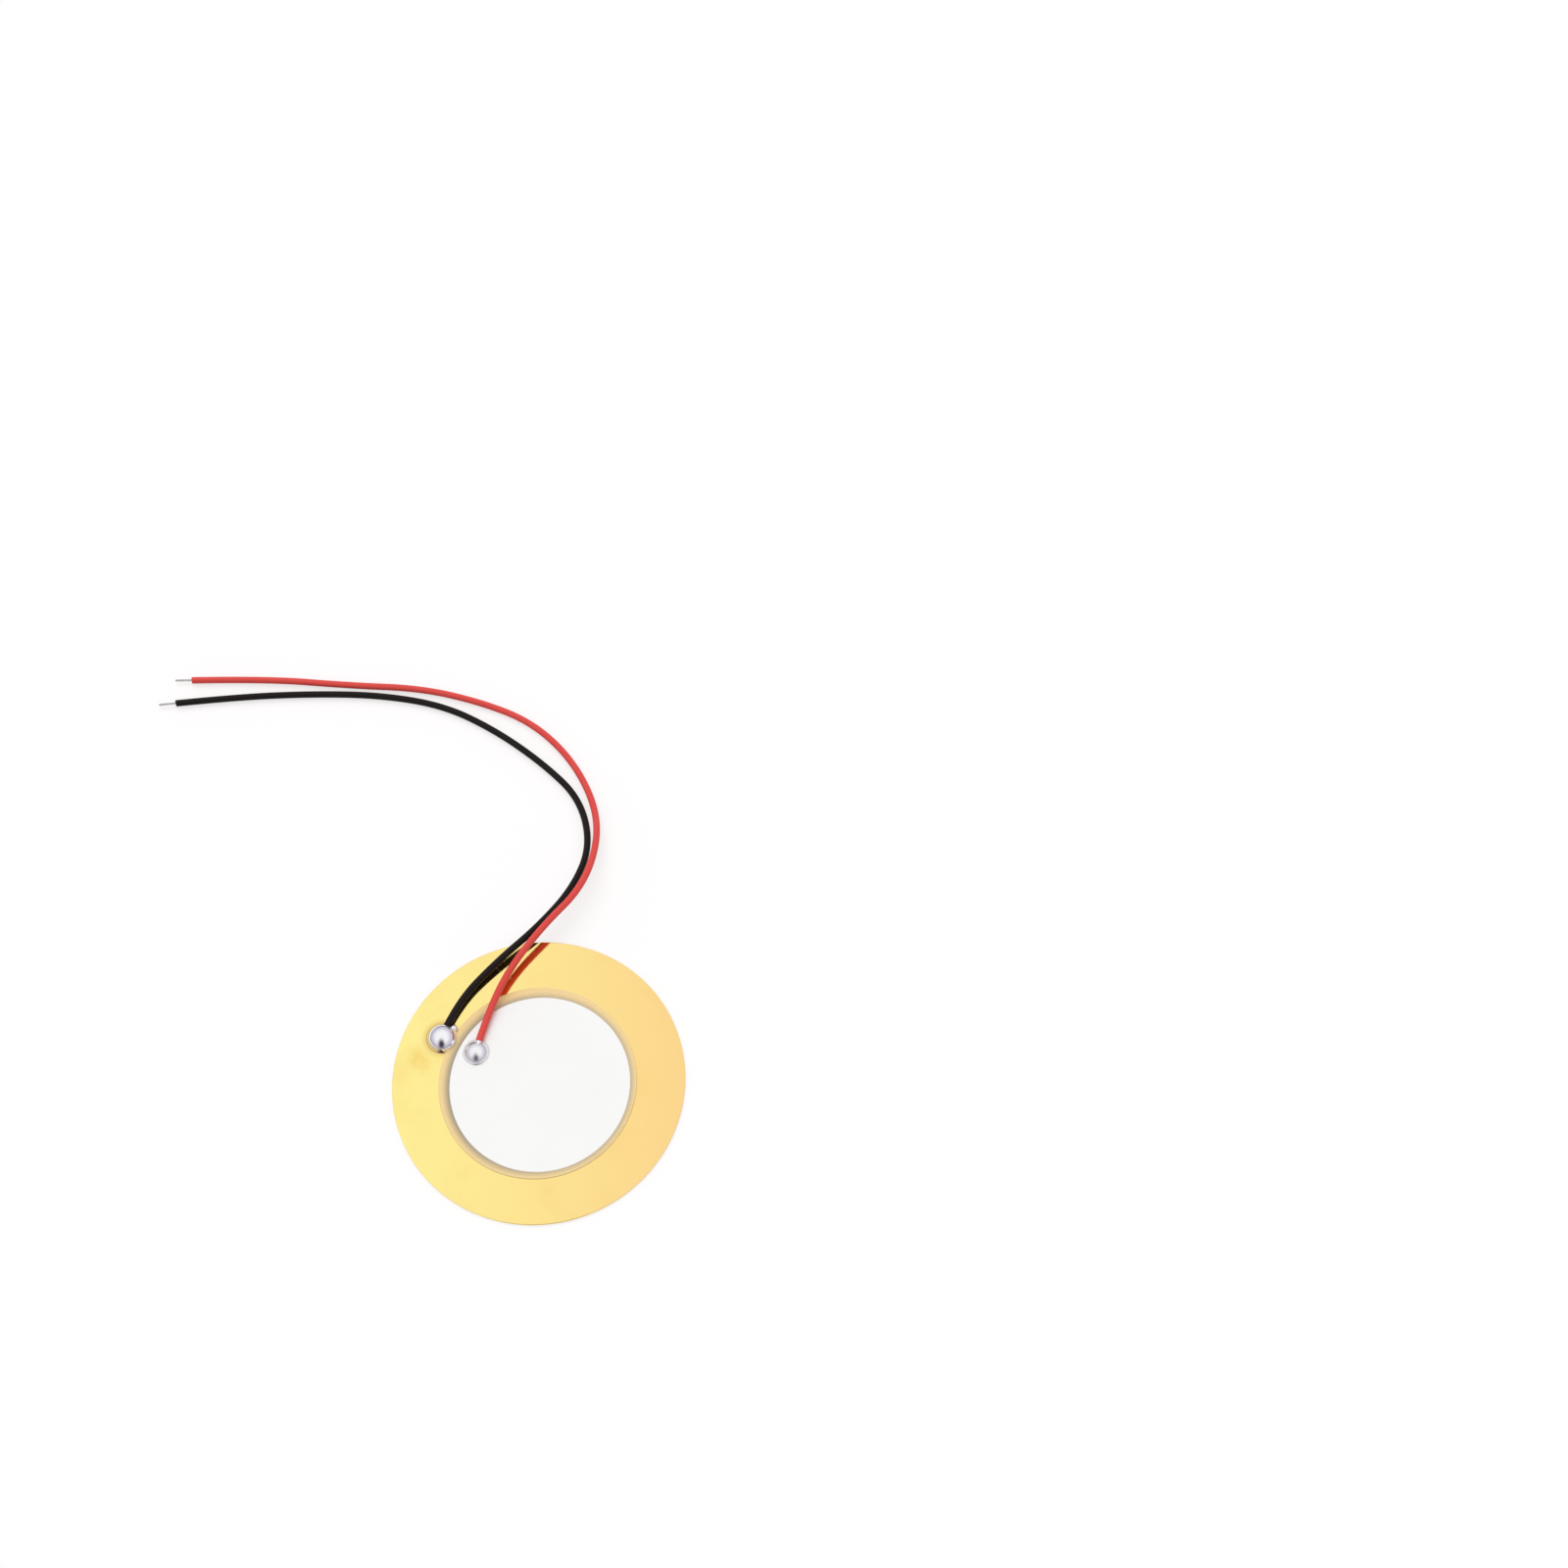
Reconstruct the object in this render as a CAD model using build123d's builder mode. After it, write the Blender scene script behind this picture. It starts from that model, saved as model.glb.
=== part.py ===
from build123d import *
import math
import os

# Bare piezo buzzer element: a brass disc, a silvered ceramic wafer bonded to it, and two soldered leads.
# Millimetres. The origin is the centre of the brass underside, +Z is up and the leads leave towards +Y.

# Brass diaphragm, stamped from rolled sheet
brass_diameter = 35.0
brass_thickness = 0.30
die_roll_radius = 0.06

# Epoxy film that holds the wafer to the brass, with a little squeezed out all round
bond_thickness = 0.015
bond_squeeze_out = 0.05

# Piezo ceramic wafer, bonded a little off the brass's centre, and its fired-silver electrodes
ceramic_diameter = 23.6
ceramic_shift_x = -0.10
ceramic_shift_y = -0.28
ceramic_thickness = 0.195
ceramic_edge_break = 0.03
electrode_thickness = 0.010
upper_electrode_diameter = 21.55
upper_electrode_shift_x = 0.27
upper_electrode_shift_y = -0.24

# Solder joints: domes that wet the metal with a hollow foot
contact_angle = 22.0
black_foot_radius = 1.95
black_dome_height = 1.55
black_wetting_radius = 0.12
black_joint_lap = 0.84
black_joint_angle = 155.0
black_wire_height = 0.55
red_foot_radius = 1.62
red_dome_height = 1.10
red_wetting_radius = 0.16
red_joint_inset = 2.075
red_joint_angle = 153.6
red_wire_height = 0.50
joint_gap = 0.60
lap_clearance = 0.02
collar_radius = 0.34
collar_root_radius = 0.40
seam_blend_radius = 0.06

# Bead of solder that ran out beside the black joint
bead_foot_radius = 0.50
bead_height = 0.80
bead_wetting_radius = 0.10
bead_inset = 0.20
bead_angle = 39.2

# Leads: a tinned conductor in a plastic jacket, stripped at both ends
jacket_diameter = 0.85
conductor_diameter = 0.30
conductor_clearance = 0.02
black_jacket_sink = 0.60
red_jacket_sink = 0.32
jacket_seat_clearance = 0.01
tip_strip_length = 2.2
bend_share = 0.45

# Overrun of the cuts past the faces that they open
cut_overrun = 0.5

# Steps of the leads from their ends in the solder to the first points of their routes
black_lead_exit = (1.62, 4.25, 0.10)
red_lead_exit = (1.20, 4.69, 0.12)

# Routes of the leads from there: up over the brass rim, down to the surface and along it
black_lead_points = [
    (-5.6, 14.6, 1.4),
    (-0.7, 18.8, 2.25),
    (3.4, 24.0, 2.1),
    (5.2, 30.1, 0.95),
    (3.6, 36.6, 0.45),
    (-1.0, 41.3, 0.45),
    (-7.4, 46.1, 0.45),
    (-14.3, 49.7, 0.45),
    (-22.5, 51.2, 0.45),
    (-31.5, 51.4, 0.45),
    (-41.4, 50.9, 0.45),
    (-50.9, 49.8, 0.45),
]
red_lead_points = [
    (-3.95, 13.6, 1.9),
    (0.0, 18.7, 2.95),
    (4.5, 23.5, 3.2),
    (6.2, 30.2, 1.75),
    (5.4, 36.3, 0.6),
    (2.0, 42.6, 0.45),
    (-3.2, 47.5, 0.45),
    (-9.9, 50.3, 0.45),
    (-17.5, 52.2, 0.45),
    (-26.5, 52.6, 0.45),
    (-38.0, 53.6, 0.45),
    (-49.2, 53.3, 0.45),
]

# Levels of the layers, from the underside up
bond_base = brass_thickness
lower_electrode_base = bond_base + bond_thickness
ceramic_base = lower_electrode_base + electrode_thickness
upper_electrode_base = ceramic_base + ceramic_thickness
silver_top = upper_electrode_base + electrode_thickness

# Places of the joints: the black one on the brass, lapping over the wafer's bare margin, and the red one
# inside the silver's edge and clear of the black one
ceramic_radius = ceramic_diameter / 2
ceramic_centre = Vector(ceramic_shift_x, ceramic_shift_y, 0)
upper_electrode_centre = ceramic_centre + Vector(upper_electrode_shift_x, upper_electrode_shift_y, 0)
bond_radius = ceramic_radius + bond_squeeze_out
black_joint_radius = bond_radius + black_foot_radius - black_joint_lap
red_joint_radius = min(
    upper_electrode_diameter / 2 - red_joint_inset,
    black_joint_radius - black_foot_radius - joint_gap - red_foot_radius,
)
up = Vector(0, 0, 1)
black_outward = Vector(1, 0, 0).rotate(Axis.Z, black_joint_angle)
red_outward = Vector(1, 0, 0).rotate(Axis.Z, red_joint_angle)
bead_outward = Vector(1, 0, 0).rotate(Axis.Z, bead_angle)
black_joint_centre = ceramic_centre + black_outward * black_joint_radius + up * brass_thickness
red_joint_centre = upper_electrode_centre + red_outward * red_joint_radius + up * silver_top
bead_centre = black_joint_centre + bead_outward * (black_foot_radius - bead_inset)
black_wire_start = black_joint_centre + up * black_wire_height
red_wire_start = red_joint_centre + up * red_wire_height
black_strip_length = black_foot_radius - black_jacket_sink
red_strip_length = red_foot_radius - red_jacket_sink
conductor_radius = conductor_diameter / 2
bore_radius = conductor_radius + conductor_clearance
jacket_radius = jacket_diameter / 2


def add_dome(centre, side, foot_radius, height, wetting_radius):
    """Adds a solder dome to the part being built: a ball-shaped crown on a hollow wetted foot.

    The foot's arc meets the metal at the contact angle and is tangent to the crown. That fixes the
    crown's radius.
    """
    foot_level = wetting_radius * math.cos(math.radians(contact_angle))
    reach = foot_radius + wetting_radius * math.sin(math.radians(contact_angle))
    rise = height - foot_level
    crown_radius = (reach**2 - wetting_radius**2 + rise**2) / (2 * (wetting_radius + rise))
    crown_level = height - crown_radius
    meeting_angle = math.degrees(math.atan2(foot_level - crown_level, reach))
    with BuildSketch(Plane(origin=centre, x_dir=side, z_dir=side.cross(up))) as half_section:
        with BuildLine():
            foot_arc = 90 - contact_angle - meeting_angle
            foot = CenterArc((reach, foot_level), wetting_radius, 180 + meeting_angle, foot_arc)
            crown = CenterArc((0, crown_level), crown_radius, meeting_angle, 90 - meeting_angle)
            Polyline(foot @ 1, (0, 0), crown @ 1)
        make_face()
    revolve(half_section.sketch, axis=Axis(centre, up))


def cut_lead(wire_plane, strip_length, jacket_sink):
    """Cuts the blind hole that the conductor's end fills and the seat of the jacket's end."""
    with Locations(wire_plane.location):
        Cylinder(
            bore_radius,
            strip_length + cut_overrun,
            align=(Align.CENTER, Align.CENTER, Align.MIN),
            mode=Mode.SUBTRACT,
        )
    with Locations(wire_plane.offset(strip_length).location):
        Cylinder(
            jacket_radius + jacket_seat_clearance,
            jacket_sink + cut_overrun,
            align=(Align.CENTER, Align.CENTER, Align.MIN),
            mode=Mode.SUBTRACT,
        )


def cut_wafer_room():
    """Cuts the room that the bonded wafer and its silver take where the solder laps over the edge."""
    for centre, radius in (
        (ceramic_centre, bond_radius),
        (upper_electrode_centre, upper_electrode_diameter / 2),
    ):
        with Locations(centre + up * bond_base):
            Cylinder(
                radius + lap_clearance,
                silver_top - bond_base + lap_clearance,
                align=(Align.CENTER, Align.CENTER, Align.MIN),
                mode=Mode.SUBTRACT,
            )


def bend_radii(points):
    """Radius at each corner of a route: as large as its two runs allow."""
    radii = []
    for before, corner, after in zip(points, points[1:], points[2:]):
        run_in = corner - before
        run_out = after - corner
        half_turn = math.radians(run_in.get_angle(run_out)) / 2
        radii.append(bend_share * min(run_in.length, run_out.length) / math.tan(half_turn))
    return radii


def shortened(points, start_cut, end_cut):
    """The same route with its first and last runs cut back."""
    first_run = (points[1] - points[0]).normalized()
    last_run = (points[-1] - points[-2]).normalized()
    return [points[0] + first_run * start_cut, *points[1:-1], points[-1] - last_run * end_cut]


black_first_point = black_wire_start + Vector(*black_lead_exit)
red_first_point = red_wire_start + Vector(*red_lead_exit)
black_route = [black_wire_start, black_first_point, *(Vector(*point) for point in black_lead_points)]
red_route = [red_wire_start, red_first_point, *(Vector(*point) for point in red_lead_points)]
black_wire_plane = Plane(origin=black_route[0], z_dir=black_route[1] - black_route[0])
red_wire_plane = Plane(origin=red_route[0], z_dir=red_route[1] - red_route[0])

os.makedirs("parts", exist_ok=True)

# Brass diaphragm: a blank whose upper edge was drawn over by the punch
with BuildPart() as brass_diaphragm:
    Cylinder(brass_diameter / 2, brass_thickness, align=(Align.CENTER, Align.CENTER, Align.MIN))
    fillet(brass_diaphragm.edges().group_by(Axis.Z)[-1], die_roll_radius)
brass_diaphragm.part.label = "brass_diaphragm"
export_step(brass_diaphragm.part, "parts/brass_diaphragm.step")

# Bond layer: the epoxy film under the wafer
with BuildPart() as bond_layer:
    with BuildSketch(Plane.XY.offset(bond_base)):
        with Locations(ceramic_centre):
            Circle(bond_radius)
    extrude(amount=bond_thickness)
bond_layer.part.label = "bond_layer"
export_step(bond_layer.part, "parts/bond_layer.step")

# Lower electrode: silver over the whole underside of the wafer
with BuildPart() as lower_electrode:
    with BuildSketch(Plane.XY.offset(lower_electrode_base)):
        with Locations(ceramic_centre):
            Circle(ceramic_radius)
    extrude(amount=electrode_thickness)
lower_electrode.part.label = "lower_electrode"
export_step(lower_electrode.part, "parts/lower_electrode.step")

# Piezo ceramic: a lapped wafer with its upper edge broken
with BuildPart() as piezo_ceramic:
    with BuildSketch(Plane.XY.offset(ceramic_base)):
        with Locations(ceramic_centre):
            Circle(ceramic_radius)
    extrude(amount=ceramic_thickness)
    chamfer(piezo_ceramic.edges().group_by(Axis.Z)[-1], ceramic_edge_break)
piezo_ceramic.part.label = "piezo_ceramic"
export_step(piezo_ceramic.part, "parts/piezo_ceramic.step")

# Upper electrode: silver printed a little off centre, inside a bare margin of ceramic
with BuildPart() as upper_electrode:
    with BuildSketch(Plane.XY.offset(upper_electrode_base)):
        with Locations(upper_electrode_centre):
            Circle(upper_electrode_diameter / 2)
    extrude(amount=electrode_thickness)
upper_electrode.part.label = "upper_electrode"
export_step(upper_electrode.part, "parts/upper_electrode.step")

# Black solder joint: the dome on the brass that takes in the jacket's end, and the bead at its side
with BuildPart() as black_solder_joint:
    add_dome(
        black_joint_centre,
        black_outward,
        black_foot_radius,
        black_dome_height,
        black_wetting_radius,
    )
    add_dome(bead_centre, bead_outward, bead_foot_radius, bead_height, bead_wetting_radius)
    fillet(black_solder_joint.edges(Select.NEW), seam_blend_radius)
    cut_lead(black_wire_plane, black_strip_length, black_jacket_sink)
    cut_wafer_room()
black_solder_joint.part.label = "black_solder_joint"
export_step(black_solder_joint.part, "parts/black_solder_joint.step")

# Red solder joint: the flatter dome on the silver, and the solder that crept along the conductor
with BuildPart() as red_solder_joint:
    add_dome(red_joint_centre, red_outward, red_foot_radius, red_dome_height, red_wetting_radius)
    with Locations(red_wire_plane.location):
        Cone(
            collar_root_radius,
            collar_radius,
            red_strip_length,
            align=(Align.CENTER, Align.CENTER, Align.MIN),
        )
    fillet(red_solder_joint.edges(Select.NEW), seam_blend_radius)
    cut_lead(red_wire_plane, red_strip_length, red_jacket_sink)
red_solder_joint.part.label = "red_solder_joint"
export_step(red_solder_joint.part, "parts/red_solder_joint.step")

# Leads: each a conductor along the whole route, in a jacket from its seat in the solder to the bare tip
for colour, route, strip_length in (
    ("black", black_route, black_strip_length),
    ("red", red_route, red_strip_length),
):
    radii = bend_radii(route)
    print(colour, "lead bend radii", [round(radius, 1) for radius in radii])

    with BuildPart() as lead_core:
        with BuildLine() as core_path:
            FilletPolyline(*route, radius=radii)
        with BuildSketch(Plane(origin=core_path.line @ 0, z_dir=core_path.line % 0)):
            Circle(conductor_radius)
        sweep()
    lead_core.part.label = f"{colour}_lead_core"
    export_step(lead_core.part, f"parts/{colour}_lead_core.step")

    with BuildPart() as lead_jacket:
        with BuildLine() as jacket_path:
            FilletPolyline(*shortened(route, strip_length, tip_strip_length), radius=radii)
        jacket_end = Plane(origin=jacket_path.line @ 0, z_dir=jacket_path.line % 0)
        with BuildSketch(jacket_end) as jacket_section:
            Circle(jacket_radius)
            Circle(bore_radius, mode=Mode.SUBTRACT)
        sweep()
    lead_jacket.part.label = f"{colour}_lead_jacket"
    export_step(lead_jacket.part, f"parts/{colour}_lead_jacket.step")

    swept_share = lead_jacket.part.volume / (jacket_section.sketch.area * jacket_path.wire().length)
    print(colour, "lead length", round(core_path.wire().length, 1))
    print(colour, "jacket volume over its section times its length", round(swept_share, 4))
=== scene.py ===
# %% [markdown]
# # A bare piezo buzzer element
# The object is a thin brass disc with a silvered ceramic wafer bonded to it. A red and a black lead are
# soldered on: one to the silver, one to the brass. When a voltage swings, the wafer grows and shrinks, the
# brass bends with it, and the disc clicks or sings. The solids come from the CAD model and never move.
# This script gives them their finishes and makes the two leads again as real wire, because a tube of
# straight runs and arcs looks like bent rod.

# %% Load the fixed frame
import math

import bpy
import numpy as np
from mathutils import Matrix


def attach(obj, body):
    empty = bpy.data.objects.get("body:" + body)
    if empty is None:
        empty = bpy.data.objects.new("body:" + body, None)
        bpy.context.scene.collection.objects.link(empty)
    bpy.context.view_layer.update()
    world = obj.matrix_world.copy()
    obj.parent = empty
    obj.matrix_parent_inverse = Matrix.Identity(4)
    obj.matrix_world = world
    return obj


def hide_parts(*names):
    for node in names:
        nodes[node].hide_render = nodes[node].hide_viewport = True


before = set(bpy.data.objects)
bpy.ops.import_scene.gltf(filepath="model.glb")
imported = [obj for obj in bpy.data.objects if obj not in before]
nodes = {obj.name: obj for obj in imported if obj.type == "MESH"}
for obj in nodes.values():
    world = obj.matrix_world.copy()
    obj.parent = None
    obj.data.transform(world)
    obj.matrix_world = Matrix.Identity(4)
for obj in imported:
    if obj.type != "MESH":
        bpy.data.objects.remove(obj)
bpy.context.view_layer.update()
MM = 0.001  # metres
print("CAD nodes:", sorted(nodes))

# %% [markdown]
# ## Camera
# The brass disc is round, so the shape of its ellipse in the photograph tells how high the camera stood.
# The small difference between the ellipse's near and far halves tells how far away it was. The camera
# looks down from the front and doesn't roll, so one turn about X is all that it needs.

# %% Camera
PHOTO_SIDE = 1600  # pixels along a side of the square photograph
FOCAL_LENGTH = 2358  # pixels of that photograph
CAMERA_ELEVATION = math.radians(65.64)
CAMERA_DISTANCE = 292.2 * MM
CAMERA_AIM = np.array([29.27, 38.90, 0.0]) * MM

camera_data = bpy.data.cameras.new("camera")
camera_data.lens = FOCAL_LENGTH * camera_data.sensor_width / PHOTO_SIDE
camera = bpy.data.objects.new("camera", camera_data)
towards_camera = np.array([0.0, -math.cos(CAMERA_ELEVATION), math.sin(CAMERA_ELEVATION)])
camera.location = CAMERA_AIM + CAMERA_DISTANCE * towards_camera
camera.rotation_euler = (math.pi / 2 - CAMERA_ELEVATION, 0, 0)
bpy.context.scene.collection.objects.link(camera)
bpy.context.scene.camera = camera
print("lens", round(camera_data.lens, 2), "mm")

# %% [markdown]
# ## The leads' routes
# Each lead starts inside its solder joint, rises over the rim of the brass, comes down and lies along the
# table. Thin hook-up wire has no corners, so its line is a NURBS spline. The points listed below steer it
# as control points, and the spline passes near them in one smooth sweep. A bevelled curve would be the
# short way to a tube, but it can't give a cut end with a bore in it. So the line is read back as points,
# and the surfaces are worked out round them.

# %% Routes of the two leads
BLACK_ROUTE = np.array([
    (-11.846, 5.197, 0.85), (-10.226, 9.447, 0.95), (-5.6, 14.6, 1.4), (-0.7, 18.8, 2.25),
    (3.4, 24.0, 2.1), (5.2, 30.1, 0.95), (3.6, 36.6, 0.45), (-1.0, 41.3, 0.45), (-7.4, 46.1, 0.45),
    (-14.3, 49.7, 0.45), (-22.5, 51.2, 0.45), (-31.5, 51.4, 0.45), (-41.4, 50.9, 0.45),
    (-50.9, 49.8, 0.45),
]) * MM
RED_ROUTE = np.array([
    (-7.623, 3.348, 1.03), (-6.423, 8.038, 1.15), (-3.95, 13.6, 1.9), (0.0, 18.7, 2.95), (4.5, 23.5, 3.2),
    (6.2, 30.2, 1.75), (5.4, 36.3, 0.6), (2.0, 42.6, 0.45), (-3.2, 47.5, 0.45), (-9.9, 50.3, 0.45),
    (-17.5, 52.2, 0.45), (-26.5, 52.6, 0.45), (-38.0, 53.6, 0.45), (-49.2, 53.3, 0.45),
]) * MM
SPLINE_STEPS = 64  # points read on each stretch of a spline


def spline_points(route):
    """Points on the quadratic NURBS line whose control points are the route's, from end to end."""
    curve = bpy.data.curves.new("route", "CURVE")
    curve.dimensions = "3D"
    curve.resolution_u = SPLINE_STEPS
    spline = curve.splines.new("NURBS")
    spline.points.add(len(route) - 1)
    weighted = np.column_stack([route, np.ones(len(route))])
    spline.points.foreach_set("co", weighted.astype(np.float32).ravel())
    spline.order_u = 3
    spline.use_endpoint_u = True
    holder = bpy.data.objects.new("route", curve)
    line = bpy.data.meshes.new_from_object(holder)
    points = np.empty(len(line.vertices) * 3, np.float32)
    line.vertices.foreach_get("co", points)
    bpy.data.objects.remove(holder)
    bpy.data.curves.remove(curve)
    bpy.data.meshes.remove(line)
    return points.reshape(-1, 3).astype(float)


def travelled(points):
    """Distance along a line of points to each of them: the running sum of its steps."""
    return np.concatenate([[0.0], np.cumsum(np.linalg.norm(np.diff(points, axis=0), axis=1))])


black_line, red_line = spline_points(BLACK_ROUTE), spline_points(RED_ROUTE)

# %% [markdown]
# ## Carrying a profile along a lead
# Every piece of a lead is a profile carried along its line. At each distance we need the centre and two
# directions square to the line. The leads are never upright, so one direction is taken level and the other
# follows from it. That needs no running frame, and a whole lead is worked out as arrays at once. Each
# piece also keeps where its points would be if the lead were pulled out straight, because the finish runs
# along the wire and not along the table.

# %% Places along a lead
UP = np.array([0.0, 0.0, 1.0])


def unit(vectors):
    """Each vector divided by its length."""
    return vectors / np.linalg.norm(vectors, axis=-1, keepdims=True)


def places(line, distances):
    """Centre, level direction and upright direction at these distances along a line.

    The heading is the line's slope there. Level is heading cross up, and upright is level cross heading.
    """
    far = travelled(line)
    slope = np.gradient(line, far, axis=0)
    centre = np.stack([np.interp(distances, far, axis) for axis in line.T], axis=-1)
    heading = unit(np.stack([np.interp(distances, far, axis) for axis in slope.T], axis=-1))
    level = unit(np.cross(heading, UP))
    return centre, level, np.cross(level, heading)


def grid_quads(rows, columns, close_rows):
    """Corner numbers of a point grid's quads: its columns close into a ring, and its rows may too."""
    first_rows = np.arange(rows if close_rows else rows - 1)
    row, column = np.meshgrid(first_rows, np.arange(columns), indexing="ij")
    next_row, next_column = (row + 1) % rows, (column + 1) % columns
    corners = ((row, column), (next_row, column), (next_row, next_column), (row, next_column))
    return np.stack([r * columns + c for r, c in corners], axis=-1).reshape(-1, 4)


print("heading at the black joint", unit(black_line[1] - black_line[0]).round(3))

# %% [markdown]
# ## Turning arrays into a piece
# A mesh is points and faces, and from_pydata takes both. Smooth shading makes round wire look round, while
# an edge that turns by more than the sharp angle, such as the rim of a cut, stays crisp.

# %% Pieces of the leads
SHARP_ANGLE = math.radians(40)


def new_piece(name, points, faces, straight, replaced):
    """A mesh object with smooth shading that rides on the root body and stands for one CAD node.

    The attribute named straight keeps where each point would be if the lead were pulled out along Z.
    """
    mesh = bpy.data.meshes.new(name)
    mesh.from_pydata(points.reshape(-1, 3), [], faces)
    pulled_out = mesh.attributes.new("straight", "FLOAT_VECTOR", "POINT")
    pulled_out.data.foreach_set("vector", straight.astype(np.float32).ravel())
    mesh.shade_smooth()
    mesh.set_sharp_from_angle(angle=SHARP_ANGLE)
    piece = bpy.data.objects.new(name, mesh)
    bpy.context.scene.collection.objects.link(piece)
    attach(piece, "root")
    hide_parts(replaced)
    print(name, len(mesh.vertices), "points,", len(mesh.polygons), "faces")
    return piece


print("an edge stays crisp from", round(math.degrees(SHARP_ANGLE)), "degrees")

# %% [markdown]
# ## The jackets
# A lead's jacket is PVC squeezed out of a round die over the strands, then cut and pulled off at both
# ends. At the joint its end sits in the solder. At the tip the knife went round it, so the cut is nearly
# square, a little skewed, and has a soft rim. The wall is one closed outline in the plane of distance and
# radius: along the outside, round the rim, in across the cut, and back along the bore. Carrying that
# outline round the line gives a closed tube with a real hole.

# %% Jackets
JACKET_RADIUS = 0.425 * MM
BORE_RADIUS = 0.17 * MM
RIM_RADIUS = 0.05 * MM
TIP_SKEW = 0.09  # rise of the cut face across the jacket, as a slope
SKEW_REACH = 0.8 * MM  # length over which the skew dies away
TIP_STRIP = 2.2 * MM
BLACK_STRIP, RED_STRIP = 1.35 * MM, 1.30 * MM
JACKET_STEP = 0.25 * MM
JACKET_SIDES = 28
RIM_STEPS = 5


def jacket_outline(first, last):
    """Closed outline of a jacket's wall as distance and radius: quarter circles join its long sides."""
    turn = np.linspace(0, math.pi / 2, RIM_STEPS)
    out, along = RIM_RADIUS * (1 - np.cos(turn)), RIM_RADIUS * (1 - np.sin(turn))
    run = np.linspace(first + RIM_RADIUS, last - RIM_RADIUS, round((last - first) / JACKET_STEP))
    bore = np.linspace(last, first, len(run))
    distance = np.concatenate([first + along[:0:-1], run, last - along[1:], bore])
    outside, inside = np.full(len(run), JACKET_RADIUS), np.full(len(bore), BORE_RADIUS)
    radius = np.concatenate([JACKET_RADIUS - out[:0:-1], outside, JACKET_RADIUS - out[1:], inside])
    return distance, radius


def make_jacket(name, line, strip, replaced):
    """A jacket round a line, from the strip at the joint to the strip at the tip, and its rings' centres.

    A point is the centre plus the radius times (cosine of level plus sine of upright). Near the tip, the
    distance shifts by the skew times the sideways offset, so that the cut face leans.
    """
    first, last = strip, travelled(line)[-1] - TIP_STRIP
    distance, radius = jacket_outline(first, last)
    angle = np.linspace(0, 2 * math.pi, JACKET_SIDES, endpoint=False)
    across, above = radius[:, None] * np.cos(angle), radius[:, None] * np.sin(angle)
    near_tip = np.exp(-(last - distance) / SKEW_REACH)
    shifted = distance[:, None] + TIP_SKEW * near_tip[:, None] * across
    centre, level, upright = places(line, shifted)
    points = centre + across[..., None] * level + above[..., None] * upright
    straight = np.stack([across, above, shifted], axis=-1)
    faces = grid_quads(len(distance), JACKET_SIDES, close_rows=True)
    path = places(line, np.linspace(first, last, round((last - first) / JACKET_STEP)))[0]
    return new_piece(name, points, faces.tolist(), straight, replaced), path


black_jacket, black_path = make_jacket("black_wire_jacket", black_line, BLACK_STRIP,
                                       "black_lead_jacket")
red_jacket, red_path = make_jacket("red_wire_jacket", red_line, RED_STRIP,
                                   "red_lead_jacket")

# %% [markdown]
# ## The strands
# Inside each jacket run seven tinned copper strands: one straight, six twisted round it. They show where
# the jacket is stripped. A single rod would do from far off, but the twist is what the eye expects of
# hook-up wire. At the bare tip the strands end at slightly different lengths and stand a little apart.

# %% Strands
STRAND_RADIUS = 0.05 * MM
OUTER_STRANDS = 6
STRAND_LAY = 5.0 * MM  # length of one turn of the twist
STRAND_STEP = 0.2 * MM
STRAND_SIDES = 8
TIP_SPREAD = 0.05 * MM
TIP_SPREAD_REACH = 0.7 * MM
TIP_UNEVENNESS = 0.16 * MM
random = np.random.default_rng(7)


def make_strands(name, line, replaced):
    """Seven strands along a line, the middle one straight and six on a helix of one strand's diameter.

    A strand's axis is the centre plus its helix radius times (cosine of level plus sine of upright). The
    angle grows by a full turn each lay, and the radius grows a little near the tip. Its skin is a circle
    round that axis.
    """
    full = travelled(line)[-1]
    outer = np.append(np.ones(OUTER_STRANDS), 0)
    ends = full - TIP_UNEVENNESS * random.random(OUTER_STRANDS + 1)
    share = np.linspace(0, 1, round(full / STRAND_STEP))
    distance = ends[:, None] * share
    near_tip = np.exp((distance - full) / TIP_SPREAD_REACH)
    spread = TIP_SPREAD * random.random(OUTER_STRANDS + 1)[:, None] * near_tip
    helix = outer[:, None] * (2 * STRAND_RADIUS + spread)
    start_angle = np.arange(OUTER_STRANDS + 1) * 2 * math.pi / OUTER_STRANDS
    twist = start_angle[:, None] + 2 * math.pi * distance / STRAND_LAY
    skin = np.linspace(0, 2 * math.pi, STRAND_SIDES, endpoint=False)
    across = (helix * np.cos(twist))[..., None] + STRAND_RADIUS * np.cos(skin)
    above = (helix * np.sin(twist))[..., None] + STRAND_RADIUS * np.sin(skin)
    centre, level, upright = (part[:, :, None, :] for part in places(line, distance))
    points = centre + across[..., None] * level + above[..., None] * upright
    straight = np.stack([across, above, np.broadcast_to(distance[..., None], across.shape)], axis=-1)
    first_points = np.arange(OUTER_STRANDS + 1)[:, None] * len(share) * STRAND_SIDES
    quads = grid_quads(len(share), STRAND_SIDES, close_rows=False)
    walls = (first_points[..., None] + quads).reshape(-1, 4)
    ring = np.arange(STRAND_SIDES)
    starts, tips = first_points + ring, first_points + (len(share) - 1) * STRAND_SIDES + ring[::-1]
    faces = walls.tolist() + starts.tolist() + tips.tolist()
    return new_piece(name, points, faces, straight, replaced)


black_strands = make_strands("black_wire_strands", black_line, "black_lead_core")
red_strands = make_strands("red_wire_strands", red_line, "red_lead_core")
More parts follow.
